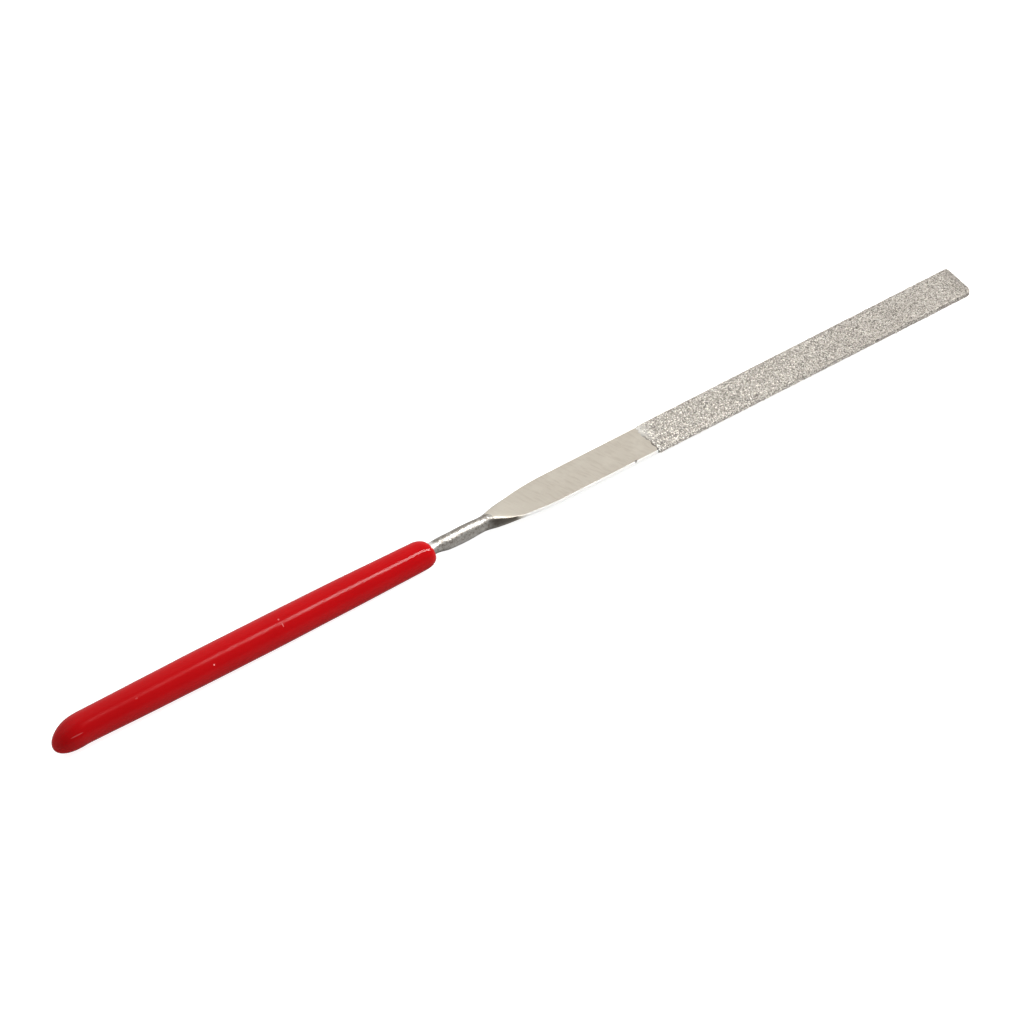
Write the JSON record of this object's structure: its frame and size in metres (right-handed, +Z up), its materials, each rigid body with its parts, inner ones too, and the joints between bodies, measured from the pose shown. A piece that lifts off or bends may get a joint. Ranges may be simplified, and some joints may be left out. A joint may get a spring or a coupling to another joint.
{
  "type": "needle file",
  "caption": "Slim flat diamond-grit needle file with a forged neck and a dipped round vinyl grip.",
  "frame": {"origin": "under the middle of the file's length, level with the underside of the grip", "axes": "+X along the file from the butt of the grip to the tip of the blade, +Z up and square to the blade's flat faces, +Y across the blade"},
  "size_m": [0.14, 0.0052, 0.0044],
  "materials": {
    "plated_steel": "fine ground and nickel plated, satin on the flats and bright on the neck",
    "red_vinyl": "glossy dipped vinyl, slightly uneven",
    "bonded_grit": "rough glittering grit set in nickel"
  },
  "bodies": {
    "root": {"steel_blank": "plated_steel", "vinyl_grip": "red_vinyl", "abrasive_coating": "bonded_grit"}
  },
  "joints": []
}
